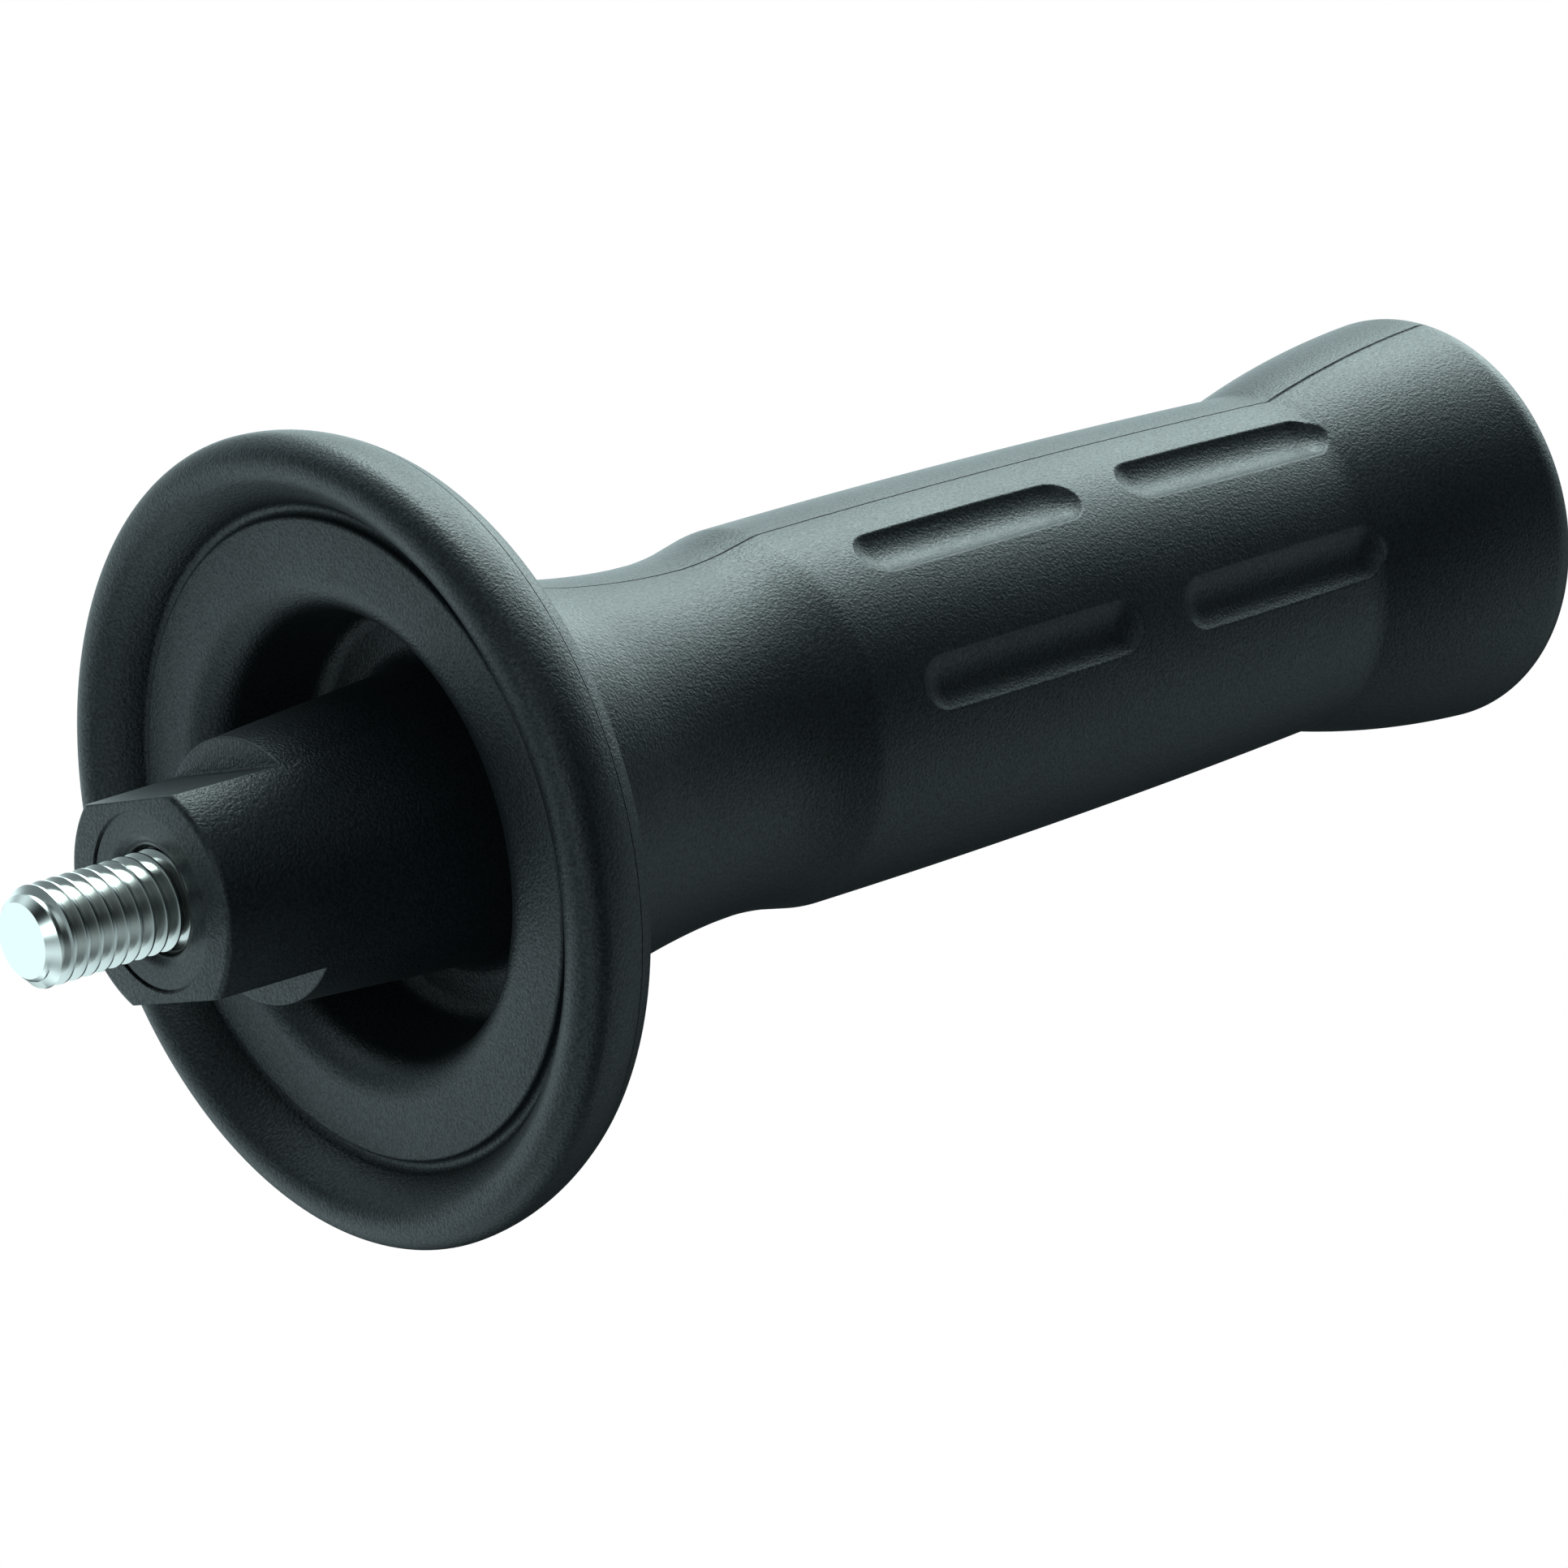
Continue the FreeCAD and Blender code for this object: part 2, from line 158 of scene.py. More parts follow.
# %% Hub and cup
STUD_RADIUS = 4.0
ROOT_RADIUS = 4.15
ROOT_DEPTH = 1.6
ROOT_ROUND = 1.3
MARK_RADIUS = 7.14
MARK_DEPTH = 0.12
HUB_RADIUS = 10.0
HUB_SLOPE = math.tan(math.radians(4.4))
HUB_EDGE = 0.5
HUB_FOOT_ROUND = 1.5
CUP_DEPTH = 30.0
CUP_FLOOR_RADIUS = 17.3
CUP_FLOOR_ROUND = 1.6
CUP_MOUTH_RADIUS = 18.4
CUP_MOUTH_ROUND = 3.3
FACE = back(19.35)

hub_foot_radius = HUB_RADIUS + CUP_DEPTH * HUB_SLOPE
hub = [
    (0, back(ROOT_DEPTH), 0), (ROOT_RADIUS, back(ROOT_DEPTH), 0),
    (ROOT_RADIUS, back(MARK_DEPTH), ROOT_ROUND), (MARK_RADIUS, back(MARK_DEPTH), 0),
    (MARK_RADIUS, LENGTH, 0), (HUB_RADIUS, LENGTH, HUB_EDGE),
    (hub_foot_radius, back(CUP_DEPTH), HUB_FOOT_ROUND),
    (CUP_FLOOR_RADIUS, back(CUP_DEPTH), CUP_FLOOR_ROUND), (CUP_MOUTH_RADIUS, FACE, CUP_MOUTH_ROUND)]
print("hub foot radius:", round(hub_foot_radius, 2), "mm")

# %% [markdown]
# The guard keeps the hand off the tool. Its face ends in a fine lip, then comes a narrow valley, and
# then the rim swells up, rolls over and comes round to the back. A torus could be joined on for the
# rim, but its flank isn't a circle. Four arcs follow the real section: a wide one up the flank, a
# tight roll at the crest, a wide one down the outside and a round at the back. Each centre is placed
# so that its arc touches the next one without a corner.

# %% Guard
LIP_RADIUS = 26.1
LIP_ROUND = 0.25
VALLEY = FACE - 0.85
VALLEY_ROUND = 0.45
RIM_FOOT_RADIUS = 27.0
RIM_FOOT_ROUND = 1.0
FLANK = 8.0
ROLL = 2.24
OUTSIDE = 9.0
BACK_ROUND = 2.5
GUARD_BACK = back(24.4)
FINE = 0.15

rim_foot = (RIM_FOOT_RADIUS, VALLEY)
rim_front = (GUARD_RADIUS, back(15.1))
flank = crown_centre(rim_foot, rim_front, FLANK)
roll = Vector((GUARD_RADIUS - ROLL, 0))
roll.y = flank.y + math.sqrt((FLANK - ROLL) ** 2 - (roll.x - flank.x) ** 2)
flank_end = flank + (roll - flank).normalized() * FLANK
widest = (GUARD_RADIUS, roll.y)
outside = Vector((GUARD_RADIUS - OUTSIDE, roll.y))
back_round = Vector((0, GUARD_BACK + BACK_ROUND))
back_round.x = outside.x + math.sqrt((OUTSIDE - BACK_ROUND) ** 2 - (back_round.y - outside.y) ** 2)
outside_end = outside + (back_round - outside).normalized() * OUTSIDE
guard = [
    (LIP_RADIUS, FACE, LIP_ROUND), (LIP_RADIUS, VALLEY, VALLEY_ROUND), (*rim_foot, RIM_FOOT_ROUND),
    *arc(flank, rim_foot, flank_end)[1:], *arc(roll, flank_end, widest, FINE)[1:],
    *arc(outside, widest, outside_end)[1:],
    *arc(back_round, outside_end, (back_round.x, GUARD_BACK), FINE)[1:]]
print("rim stands", round(roll.y + ROLL - FACE, 2), "mm above the guard's face")

# %% [markdown]
# Behind the guard the grip narrows to a neck, swells to the barrel that fills the hand, and opens
# again to a flare that stops the hand from sliding off. The neck is a chain of straight runs with
# large rounds. The barrel looks straight, but it is crowned by about half a millimetre, and that
# crown is what keeps its long highlight alive, so it is a true arc with a radius of over a metre.

# %% Grip
NECK_START_RADIUS = 20.2
NECK_MIDDLE_RADIUS = 15.14
NECK_RADIUS = 14.91
BARREL_FRONT_ROUND = 6
CROWN = 1150
FLARE = 92.0
FLARE_RADIUS = 18.5
END_ROUND = 3.5

barrel_front = (16.12, back(61.9))
crease = (15.16, back(122.4))
barrel = crown_centre(barrel_front, crease, CROWN)
flare = crown_centre(crease, (FLARE_RADIUS, 0), FLARE)
end = Vector((0, END_ROUND))
end.x = flare.x + math.sqrt((FLARE - END_ROUND) ** 2 - (end.y - flare.y) ** 2)
flare_end = flare + (end - flare).normalized() * FLARE
grip = [
    (NECK_START_RADIUS, GUARD_BACK, 8), (NECK_MIDDLE_RADIUS, back(45.8), 60),
    (NECK_RADIUS, back(56.1), 24), (*barrel_front, BARREL_FRONT_ROUND),
    *arc(barrel, barrel_front, crease, 2.0)[1:], *arc(flare, crease, flare_end)[1:],
    *arc(end, flare_end, (end.x, 0), FINE)[1:]]
print("neck", NECK_RADIUS * 2, "mm, barrel", barrel_front[0] * 2, "mm, flare", FLARE_RADIUS * 2, "mm")

# %% [markdown]
# Nylon this thick would sink and warp as it cools, so a core in the mould leaves the grip hollow,
# open at the rear end. The photograph doesn't show that end, so the hollow follows usual practice: a
# wide mouth, a ledge, and a long core hole with some draft. It closes the profile on the axis, and
# the whole profile is turned in fine steps, so that the guard's edge stays round from near by.

# %% Moulding
STEPS = 216
MOUTH_RADIUS = 13.4
MOUTH_ROUND = 0.6
LEDGE_RADIUS = 12.6
LEDGE = 19.0
CORE_RADIUS = 11.4
CORE_START = 21.0
CORE_TOP_RADIUS = 10.6
CORE_TOP = back(44)
CORE_TOP_ROUND = 2

hollow = [
    (MOUTH_RADIUS, 0, MOUTH_ROUND), (LEDGE_RADIUS, LEDGE, 0), (CORE_RADIUS, CORE_START, 0),
    (CORE_TOP_RADIUS, CORE_TOP, CORE_TOP_ROUND), (0, CORE_TOP, 0)]
handle = as_object(turned([*hub, *guard, *grip, *hollow], STEPS), "handle_moulding")
print("moulding turned:", len(handle.data.polygons), "faces")

# %% [markdown]
# Eight slots help the hand to hold the barrel: two rows a side, each with a front and a back slot.
# Their walls are round and their ends are half round, the shape of a round-ended rod that was sunk
# into the surface. They could be modelled into the skin face by face, but a rod that is turned like
# the handle and then cut away gives the right wall and the right ends at once. Each rod leans with
# the surface, so that its slot is as deep at both ends.

# %% Rods
ROD_RADIUS = 3.8
ROD_LENGTH = 20.1
ROD_STEPS = 64
ROD_LIFT = 2.79
ROD_SPACING = 0.2
ROWS = [side + half_gap for side in (-46, 134) for half_gap in (-22.5, 22.5)]
# setback of the slot's middle, radius of the barrel there, and lean of the rod in degrees
FRONT_SLOT = (80.1, 16.15, 0.3)
BACK_SLOT = (110.45, 15.58, 1.8)


def slot_rod(row, setback, surface, lean):
    """A round-ended rod in a row, at its setback, just above the surface and leaning with it."""
    half = ROD_LENGTH / 2
    tip = half + ROD_RADIUS
    mesh = turned([
        (0, -tip, 0),
        *arc(Vector((0, -half)), (0, -tip), (ROD_RADIUS, -half), ROD_SPACING)[1:],
        *arc(Vector((0, half)), (ROD_RADIUS, half), (0, tip), ROD_SPACING)], ROD_STEPS)
    mesh.transform(
        Matrix.Rotation(math.radians(row), 4, "Z")
        @ Matrix.Translation(((surface + ROD_LIFT) * MM, 0, back(setback) * MM))
        @ Matrix.Rotation(math.radians(lean), 4, "Y"))
    return as_object(mesh, "rod")


rods = [slot_rod(row, *slot) for row in ROWS for slot in (FRONT_SLOT, BACK_SLOT)]
print("slots:", len(rods), "and each", round(ROD_RADIUS - ROD_LIFT, 2), "mm deep")

# %% [markdown]
# A spanner holds the hub by two flats, and two crossed ribs stand in the hollow to stiffen the grip.
# Both are plain blocks: the flats are cut away, and the ribs are joined on. A rib reaches a little
# into the wall and the end of the hollow, because a join needs shared volume, not just a touch.

# %% Flats and ribs
FLAT_LENGTH = 9.7
FLAT_ANGLE = 21.2
ACROSS_FLATS = 16.0
CUTTER = 10
CUTTER_WIDTH = 30
RIB_THICKNESS = 2
RIB_SPAN = 24.4
RIB_SINK = 0.5


def block(name, sides, centre, turn=0.0):
    """A block of those sides, centred at that place and turned about the axis, in millimetres."""
    mesh = bmesh.new()
    bmesh.ops.create_cube(mesh, size=1.0)
    mesh.transform(
        Matrix.Rotation(math.radians(turn), 4, "Z")
        @ Matrix.Translation(Vector(centre) * MM)
        @ Matrix.Diagonal((*(side * MM for side in sides), 1)))
    return as_object(mesh, name)


cutter_sides = (CUTTER, CUTTER_WIDTH, FLAT_LENGTH * 2)
cutter_place = ACROSS_FLATS / 2 + CUTTER / 2
flats = [block("flat", cutter_sides, (side * cutter_place, 0, LENGTH), FLAT_ANGLE) for side in (1, -1)]
rib_end = CORE_TOP + RIB_SINK
rib_length = rib_end - CORE_START
rib_centre = (0, 0, (CORE_START + rib_end) / 2)
ribs = [
    block("rib", sides, rib_centre)
    for sides in ((RIB_SPAN, RIB_THICKNESS, rib_length), (RIB_THICKNESS, RIB_SPAN, rib_length))]
print("flats", ACROSS_FLATS, "mm apart, ribs", RIB_THICKNESS, "mm thick")


# %% [markdown]
# The tools are applied with Boolean modifiers, and the evaluated mesh is taken as the new one, which
# needs no editor. The exact solver is slower than the fast one and handles touching faces. The
# finished moulding then takes the place of its CAD node and rides on the one rigid body.

# %% Cutting
def carve(body, tools, operation="DIFFERENCE"):
    """Cuts the tools from the body, or joins them to it, and removes the tools."""
    for tool in tools:
        step = body.modifiers.new(tool.name, "BOOLEAN")
        step.object = tool
        step.operation = operation
        step.solver = "EXACT"
    graph = bpy.context.evaluated_depsgraph_get()
    result = bpy.data.meshes.new_from_object(body.evaluated_get(graph))
    body.modifiers.clear()
    body.data = result
    for tool in tools:
        bpy.data.objects.remove(tool)
    shade(result)


carve(handle, rods + flats)
carve(handle, ribs, "UNION")
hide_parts("handle_body")
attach(handle, "root")
print("moulding cut:", len(handle.data.polygons), "faces")

# %% [markdown]
# The stud is a steel rod with a rolled M8 thread, 1.25 mm from turn to turn. A stack of rings would
# look much the same from the side, but a real thread climbs, and its start shows at the tip. So one
# pitch of the thread's outline is spun with a lift of one pitch a turn, which gives the true helix,
# and planes cut it square at both ends. The chamfer draws in whatever stands outside its cone.

# %% Stud
PITCH = 1.25
THREAD_DEPTH = 0.68
THREAD_FLANK = 0.38
THREAD_CREST = 0.17
TIP = LENGTH + 12.0
CHAMFER = 1.0
TURN_STEPS = 96
THREAD_SEAM = 2e-6


def thread_outline():
    """One pitch of the thread from root to root, as across and up."""
    root = STUD_RADIUS - THREAD_DEPTH
    foot = (PITCH - THREAD_CREST) / 2 - THREAD_FLANK
    crest = foot + THREAD_FLANK
    return [
        (root, 0), (root, foot), (STUD_RADIUS, crest), (STUD_RADIUS, crest + THREAD_CREST),
        (root, PITCH - foot), (root, PITCH)]


def chamfer_tip(mesh):
    """Draws what stands outside the tip's cone in to it."""
    for vert in mesh.verts:
        reach = math.hypot(vert.co.x, vert.co.y)
        limit = (STUD_RADIUS - CHAMFER + TIP - vert.co.z / MM) * MM
        if reach > limit:
            vert.co.x *= limit / reach
            vert.co.y *= limit / reach


def threaded_rod(bottom, top):
    """A bmesh of thread between two heights, cut square at both and chamfered at the top."""
    mesh = bmesh.new()
    start = bottom - PITCH
    verts = [mesh.verts.new((across * MM, 0, (start + up) * MM)) for across, up in thread_outline()]
    for first, last in zip(verts, verts[1:]):
        mesh.edges.new((first, last))
    turns = math.ceil((top - start) / PITCH) + 1
    bmesh.ops.spin(
        mesh, geom=mesh.verts[:] + mesh.edges[:], cent=(0, 0, 0), axis=(0, 0, 1),
        angle=math.tau * turns, steps=TURN_STEPS * turns, use_merge=False,
        dvec=(0, 0, PITCH * MM / TURN_STEPS))
    bmesh.ops.remove_doubles(mesh, verts=mesh.verts[:], dist=THREAD_SEAM)
    for height, outward in ((bottom, -1), (top, 1)):
        bmesh.ops.bisect_plane(
            mesh, geom=mesh.verts[:] + mesh.edges[:] + mesh.faces[:], dist=1e-8,
            plane_co=(0, 0, height * MM), plane_no=(0, 0, outward), clear_outer=True)
    chamfer_tip(mesh)
    bmesh.ops.holes_fill(mesh, edges=[edge for edge in mesh.edges if edge.is_boundary])
    bmesh.ops.recalc_face_normals(mesh, faces=mesh.faces[:])
    return mesh


stud = as_object(threaded_rod(back(ROOT_DEPTH), TIP), "threaded_stud_thread")
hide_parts("threaded_stud")
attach(stud, "root")
print("thread:", len(stud.data.polygons), "faces")


# %% [markdown]
# Materials are built from nodes. Colours are written as the hex values that a picture shows, and one
# function turns them to the linear values that a renderer needs. A second one adds a node: its
# inputs are given in the order of its sockets or by name, as values or as other nodes, and what
# stands behind a node's own buttons is given as settings.

# %% Nodes
MATH = "ShaderNodeMath"
VECTOR_MATH = "ShaderNodeVectorMath"
NOISE = "ShaderNodeTexNoise"
MIX = "ShaderNodeMix"
FIRST_COLOUR = 6
SECOND_COLOUR = 7


def linear(colour):
    """A hex sRGB colour as linear red, green, blue and alpha."""
    parts = [int(colour[place:place + 2], 16) / 255 for place in (1, 3, 5)]
    return [part / 12.92 if part <= 0.04045 else ((part + 0.055) / 1.055) ** 2.4 for part in parts] + [1.0]


def add(tree, kind, *inputs, named=None, **settings):
    """A node with its settings and inputs; a node that is given as an input gives its first output."""
    node = tree.nodes.new(kind)
    for name, value in settings.items():
        setattr(node, name, value)
    for key, value in [*enumerate(inputs), *(named or {}).items()]:
        if isinstance(value, bpy.types.Node):
            value = next(output for output in value.outputs if output.enabled)
        if isinstance(value, bpy.types.NodeSocket):
            tree.links.new(value, node.inputs[key])
        else:
            node.inputs[key].default_value = value
    return node


def new_material(name):
    """An empty material and its node tree."""
    material = bpy.data.materials.new(name)
    material.use_nodes = True
    material.node_tree.nodes.clear()
    return material, material.node_tree


print("mid grey is", round(linear("#808080")[0], 3), "of white")


# %% [markdown]
# Two patterns do most of the work on the moulding: a narrow band about a place, for a fine line, and
# a soft step at an edge, which keeps a line on the part of the surface where it belongs. Both work
# on a measure in metres, such as a height or a radius, and take their own sizes in millimetres.

# %% Bands and steps
def band(tree, measure, middle, half):
    """1 in the middle of a narrow band, falling to 0 at its edges."""
    signed = add(tree, MATH, measure, middle * MM, operation="SUBTRACT")
    off = add(tree, MATH, signed, operation="ABSOLUTE")
    share = add(tree, MATH, off, half * MM, operation="DIVIDE")
    return add(tree, MATH, 1.0, share, operation="SUBTRACT", use_clamp=True)


def soft_step(tree, measure, edge, soft, before=0.0, after=1.0):
    """One value before an edge and another after it, with a soft width on either side."""
    start = (edge - soft) * MM
    stop = (edge + soft) * MM
    return add(tree, "ShaderNodeMapRange", measure, start, stop, before, after)


# %% [markdown]
# A mould is made of parts, and nylon creeps a little into each joint. Two halves meet along the
# grip, which leaves a fine line from the neck to the rear end, bolder on the flare. A ring line runs
# round the rim, where the halves meet the front plate. The lines could be cut into the mesh, but at
# a tenth of a millimetre that costs many faces and shows no better, so they are drawn in the
# material. Noise makes the long line waver a little.

# %% Parting lines
WAVER_SIZE = 4
WAVER = 0.12
FINE_LINE = 0.11
BOLD_LINE = 0.2
RING_LINE = 0.09
RING_SETBACK = 22
LINE_START = 25


def long_line(tree, place):
    """1 on the line along the grip, which lies where the handle's own Y is 0 and X above 0."""
    parts = add(tree, "ShaderNodeSeparateXYZ", place)
    across, aside, up = (parts.outputs[name] for name in "XYZ")
    noise = add(tree, NOISE, named={"Vector": place, "Scale": 1 / (WAVER_SIZE * MM), "Detail": 3.0})
    centred = add(tree, MATH, noise, 0.5, operation="SUBTRACT")
    wavy = add(tree, MATH, centred, WAVER * MM, aside, operation="MULTIPLY_ADD")
    on_flare = soft_step(tree, up, crease[1], 1.5, 1.0, 0.0)
    bold = add(tree, MATH, band(tree, wavy, 0, BOLD_LINE), on_flare, operation="MULTIPLY")
    line = add(tree, MATH, band(tree, wavy, 0, FINE_LINE), bold, operation="MAXIMUM")
    line = add(tree, MATH, line, soft_step(tree, up, back(LINE_START), 0.5, 1.0, 0.0), operation="MULTIPLY")
    return add(tree, MATH, line, soft_step(tree, across, 0, 1), operation="MULTIPLY")


def ring_line(tree, up, radius):
    """1 on the line round the rim."""
    ring = band(tree, up, back(RING_SETBACK), RING_LINE)
    on_rim = soft_step(tree, radius, GUARD_RADIUS - 2, 0.5)
    return add(tree, MATH, ring, on_rim, operation="MULTIPLY")


print("parting line:", FINE_LINE * 2, "mm wide, and on the flare", BOLD_LINE * 2, "mm")


# %% [markdown]
# The mould's pin leaves its ring in the hub face, as a fine dark joint. The step's shade is painted
# in: the band at the ring's radius is made darker towards one side, the side where the step falls in
# shade, by the direction of each point from the axis.

# %% Pin mark and painted shade
MARK_LINE = 0.16
SHADED_SIDE = (-0.76, 0.65, 0)


def pin_ring_and_painted_shade(tree, place, radius, on_face):
    """The ring that the mould's pin leaves, with painted shade that darkens it towards one side."""
    # painted shade: the ring grows darker towards the side where the step falls in shade
    side = add(tree, VECTOR_MATH, place, SHADED_SIDE, operation="DOT_PRODUCT")
    facing = add(tree, MATH, side, radius, operation="DIVIDE")
    shade_share = add(tree, MATH, facing, 0.8, 0.3, operation="MULTIPLY_ADD", use_clamp=True)
    ring = add(tree, MATH, band(tree, radius, MARK_RADIUS, MARK_LINE), on_face, operation="MULTIPLY")
    return add(tree, MATH, ring, shade_share, operation="MULTIPLY")


print("pin mark:", MARK_RADIUS * 2, "mm across")


# %% [markdown]
# The mould's walls were eroded with sparks, which gives the nylon a fine even grain. Such a grain is
# often finer than 0.1 mm. It is drawn at 0.26 mm, because a finer one doesn't show in the render.
# The pin's end was polished, so the grain fades there, and the lines are sunk below it. A Bevel node
# rounds the light at the cut edges, where the mesh has no round.

# %% Grain
GRAIN = 0.26
GRAIN_HEIGHT = 0.07
LINE_DEPTH = 2.0
EDGE_ROUND = 0.3


def grained(tree, grain, line, polished):
    """The surface's direction with grain, lines and softened edges."""
    share = add(tree, MATH, polished, -0.8, 1.0, operation="MULTIPLY_ADD")
    texture = add(tree, MATH, grain, share, operation="MULTIPLY")
    height = add(tree, MATH, line, -LINE_DEPTH, texture, operation="MULTIPLY_ADD")
    edge = add(tree, "ShaderNodeBevel", EDGE_ROUND * MM, samples=6)
    return add(tree, "ShaderNodeBump", named={
        "Height": height, "Strength": 1.0, "Distance": GRAIN_HEIGHT * MM, "Normal": edge})


print("grain:", GRAIN, "mm wide and up to", GRAIN_HEIGHT, "mm high")


# %% [markdown]
# The moulding is nylon with glass fibre, coloured black with carbon. The eye sees a dull dark
# surface with a broad soft sheen and a faint fleck. Its IOR is near the default of 1.5. The
# roughness drifts a little over the surface, as the glass comes nearer to it in some places, and the
# fleck changes the colour and the sheen from grain to grain. In a line there is hardly any sheen.

# %% Nylon
CLOUD = 9
ROUGHNESS = 0.34
ROUGHNESS_DRIFT = 0.12
POLISH = 0.1
LEAST_SHEEN = 0.1
GRAIN_SHEEN = 0.8
LINE_DULLS = 0.45
NYLON_DARK = "#0f1316"
NYLON_PALE = "#1a2024"
# the dark colour of the joint lines; on the pin ring it also carries painted shade on one side
LINE_COLOUR = "#040506"


def nylon():
    """Black glass-filled nylon with the grain, lines and marks of its mould."""
    material, tree = new_material("black_glass_filled_nylon")
    place = add(tree, "ShaderNodeTexCoord").outputs["Object"]
    up = add(tree, "ShaderNodeSeparateXYZ", place).outputs["Z"]
    level = add(tree, VECTOR_MATH, place, (1, 1, 0), operation="MULTIPLY")
    radius = add(tree, VECTOR_MATH, level, operation="LENGTH")
    on_face = soft_step(tree, up, back(2), 0.1)
    inside = soft_step(tree, radius, MARK_RADIUS, 0.02, 1.0, 0.0)
    polished = add(tree, MATH, on_face, inside, operation="MULTIPLY")
    parting = add(tree, MATH, long_line(tree, place), ring_line(tree, up, radius), operation="MAXIMUM")
    # the pin ring joins the lines here, with painted shade on one side of it
    line = add(tree, MATH, parting, pin_ring_and_painted_shade(tree, place, radius, on_face), operation="MAXIMUM")

    grain = add(tree, NOISE, named={
        "Vector": place, "Scale": 1 / (GRAIN * MM), "Detail": 2.0, "Roughness": 0.6})
    cloud = add(tree, NOISE, named={"Vector": place, "Scale": 1 / (CLOUD * MM), "Detail": 4.0})
    roughness = add(tree, MATH, cloud, ROUGHNESS_DRIFT, ROUGHNESS, operation="MULTIPLY_ADD")
    roughness = add(tree, MATH, polished, -POLISH, roughness, operation="MULTIPLY_ADD")
    sheen = add(tree, MATH, grain, GRAIN_SHEEN, LEAST_SHEEN, operation="MULTIPLY_ADD")
    sheen = add(tree, MATH, line, -LINE_DULLS, sheen, operation="MULTIPLY_ADD")
    pale_share = add(tree, MATH, grain, 3.0, -1.0, operation="MULTIPLY_ADD", use_clamp=True)
    fleck = add(tree, MIX, pale_share, data_type="RGBA", named={
        FIRST_COLOUR: linear(NYLON_DARK), SECOND_COLOUR: linear(NYLON_PALE)})
    colour = add(tree, MIX, line, data_type="RGBA", named={
        FIRST_COLOUR: fleck, SECOND_COLOUR: linear(LINE_COLOUR)})
    shader = add(tree, "ShaderNodeBsdfPrincipled", named={
        "Base Color": colour, "Roughness": roughness, "Specular IOR Level": sheen,
        "Normal": grained(tree, grain, line, polished)})
    add(tree, "ShaderNodeOutputMaterial", shader)
    return material


handle.data.materials.clear()
handle.data.materials.append(nylon())
print("nylon nodes:", len(handle.data.materials[0].node_tree.nodes))


# %% [markdown]
# The stud is steel with bright zinc plate, which keeps the polish of the rolled thread. The eye sees
# a clear silvery mirror, broken only by the thread's own shape, so one metallic shader with a low
# roughness does it, and no pattern is needed.

# %% Zinc plate
def zinc():
    """Bright zinc plate on a rolled thread."""
    material, tree = new_material("bright_zinc_plate")
    shader = add(tree, "ShaderNodeBsdfPrincipled", named={
        "Base Color": linear("#fafaf6"), "Metallic": 1.0, "Roughness": 0.18})
    add(tree, "ShaderNodeOutputMaterial", shader)
    return material


stud.data.materials.append(zinc())
print("materials:", [piece.data.materials[0].name for piece in (handle, stud)])

# %% [markdown]
# The handle was photographed lying down, and here it stands, so the camera goes round it instead.
# Its place and its right, up and towards directions come from the circles of the hub, the cup and
# the guard in the photograph. A long lens, 8000 pixels for a frame of 1932, keeps the perspective
# as shallow as it is there.

# %% Camera
IMAGE_WIDTH = 1932
FOCAL_LENGTH = 8000
SENSOR = 36.0
CAMERA = Vector((195.4336, -369.4497, 420.2527)) * MM
RIGHT = Vector((0.025183, -0.670709, -0.741293))
UP = Vector((0.927451, 0.292424, -0.233073))
TOWARDS = Vector((0.373096, -0.681643, 0.629414))


def camera():
    """The camera at the photograph's place."""
    data = bpy.data.cameras.new("camera")
    data.sensor_width = SENSOR
    data.lens = SENSOR * FOCAL_LENGTH / IMAGE_WIDTH
    data.clip_start = 0.01
    eye = bpy.data.objects.new("camera", data)
    bpy.context.scene.collection.objects.link(eye)
    view = Matrix((RIGHT, UP, TOWARDS)).transposed()
    eye.matrix_world = Matrix.Translation(CAMERA) @ view.to_4x4()
    bpy.context.scene.camera = eye
    return eye


print("lens:", round(camera().data.lens, 1), "mm")

# %% [markdown]
# The photograph's background is pure white, without a shadow. Part of its light comes from where the
# floor lies here, because the handle stands instead of lying. So the floor is white paper to the
# camera and clear to every other ray, which lets that light through.

# %% Floor
FLOOR_SIZE = 4.0


def white_floor():
    """A floor that the camera sees as white paper and that light passes."""
    mesh = bmesh.new()
    bmesh.ops.create_grid(mesh, x_segments=1, y_segments=1, size=FLOOR_SIZE)
    floor = as_object(mesh, "floor")
    material, tree = new_material("white_floor")
    seen = add(tree, "ShaderNodeLightPath").outputs["Is Camera Ray"]
    clear = add(tree, "ShaderNodeBsdfTransparent")
    paper = add(tree, "ShaderNodeEmission", linear("#ffffff"), 1.0)
    add(tree, "ShaderNodeOutputMaterial", add(tree, "ShaderNodeMixShader", seen, clear, paper))
    floor.data.materials.append(material)
    return floor


print("floor:", white_floor().name)

# %% [markdown]
# A black part shows its shape almost only by what it mirrors, so the studio matters more than the
# colour. Area lamps could stand round it, each with its place, size and distance. Here the walls of
# the room glow in soft patches instead: how far a direction agrees with a patch's own is raised to a
# power, and a higher power gives a narrower patch. Each patch has its direction as the camera's
# right, up and towards, its power and its strength. The mean over the whole room is a little under
# 1, and at 1 a colour renders as it is written. The bright patches are nearly white, and the dim
# ones are a little cooler, as light from a wall is.

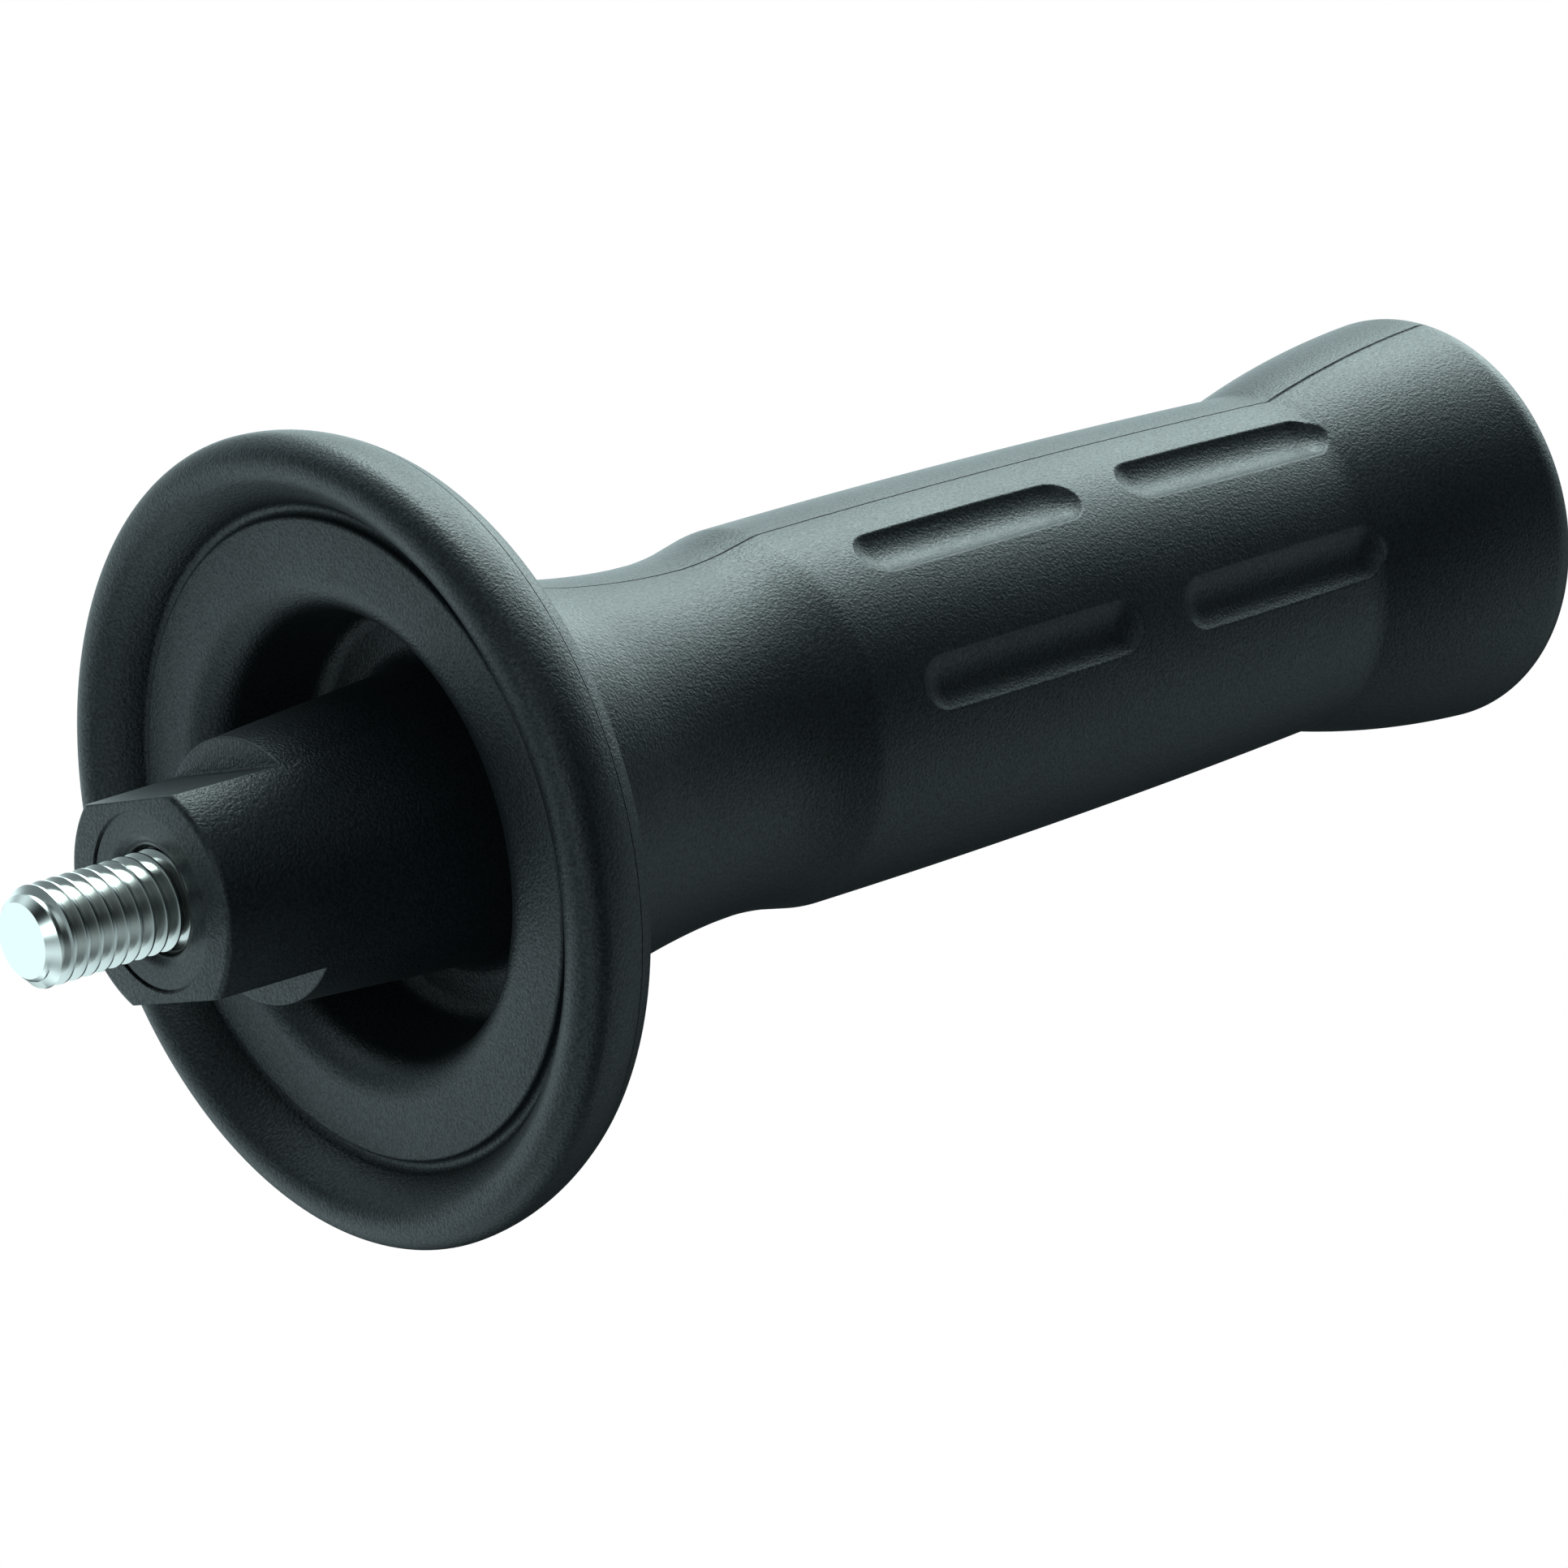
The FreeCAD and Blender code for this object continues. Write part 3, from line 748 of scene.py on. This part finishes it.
# %% Light
PATCHES = {
    "overhead key": (0.02, 0.97, -0.26, 30, 10.0),
    "overhead, wide": (0.04, 0.90, -0.44, 12, 2.7),
    "overhead, right": (0.40, 0.88, -0.26, 30, 1.5),
    "overhead, left": (-0.57, 0.81, -0.10, 12, 1.5),
    "behind, upper right": (0.44, 0.58, -0.69, 30, 7.0),
    "behind": (-0.10, 0.30, -0.95, 30, 2.0),
    "behind, left": (-0.63, 0.15, -0.76, 12, 1.2),
    "behind, lower left": (-0.73, -0.40, -0.56, 12, 1.1),
    "behind, lower right": (0.61, -0.65, -0.46, 12, 0.25),
    "left, in front": (-0.93, -0.27, 0.25, 12, 0.9),
    "left, for the stud's tip": (-0.93, -0.29, -0.21, 12, 0.45),
    "right": (0.90, -0.10, -0.42, 12, 0.45),
    "right, low": (0.90, -0.44, -0.07, 12, 0.4),
    "below": (-0.31, -0.94, -0.15, 12, 1.2),
    "below, in front": (-0.13, -0.69, 0.71, 12, 1.0),
    "in front, above": (0.26, 0.52, 0.81, 12, 0.8),
    "in front, narrow": (-0.38, -0.02, 0.92, 60, 5.0),
}
NEUTRAL_FROM = 10 / 3
COOL_LIGHT = "#daf4fa"
NEUTRAL_LIGHT = "#e4faf9"


def patches_of_light(tree):
    """How bright the room is in each direction."""
    direction = add(tree, "ShaderNodeTexCoord").outputs["Generated"]
    light = 0.0
    for right, up, towards, sharpness, strength in PATCHES.values():
        aim = RIGHT * right + UP * up + TOWARDS * towards
        facing = add(tree, VECTOR_MATH, direction, aim, operation="DOT_PRODUCT")
        in_front = add(tree, MATH, facing, 0.0, operation="MAXIMUM")
        patch = add(tree, MATH, in_front, sharpness, operation="POWER")
        light = add(tree, MATH, patch, strength, light, operation="MULTIPLY_ADD")
    return light


def surroundings():
    """White to the camera, and to everything else a dark room with soft patches of light."""
    world = bpy.data.worlds.new("studio")
    bpy.context.scene.world = world
    world.use_nodes = True
    tree = world.node_tree
    tree.nodes.clear()
    light = patches_of_light(tree)
    neutral_share = add(tree, MATH, light, NEUTRAL_FROM, operation="DIVIDE", use_clamp=True)
    tint = add(tree, MIX, neutral_share, data_type="RGBA", named={
        FIRST_COLOUR: linear(COOL_LIGHT), SECOND_COLOUR: linear(NEUTRAL_LIGHT)})
    seen = add(tree, "ShaderNodeLightPath").outputs["Is Camera Ray"]
    room = add(tree, "ShaderNodeBackground", tint, light)
    paper = add(tree, "ShaderNodeBackground", linear("#ffffff"), 1.0)
    add(tree, "ShaderNodeOutputWorld", add(tree, "ShaderNodeMixShader", seen, room, paper))


surroundings()
mean_light = sum(strength / (2 * (sharpness + 1)) for *_, sharpness, strength in PATCHES.values())
print("patches:", len(PATCHES), "with a mean light of", round(mean_light, 2))

# %% [markdown]
# Colours are shown as they are, without a film look, so the view transform is Standard.

# %% Finish
bpy.context.scene.view_settings.view_transform = "Standard"
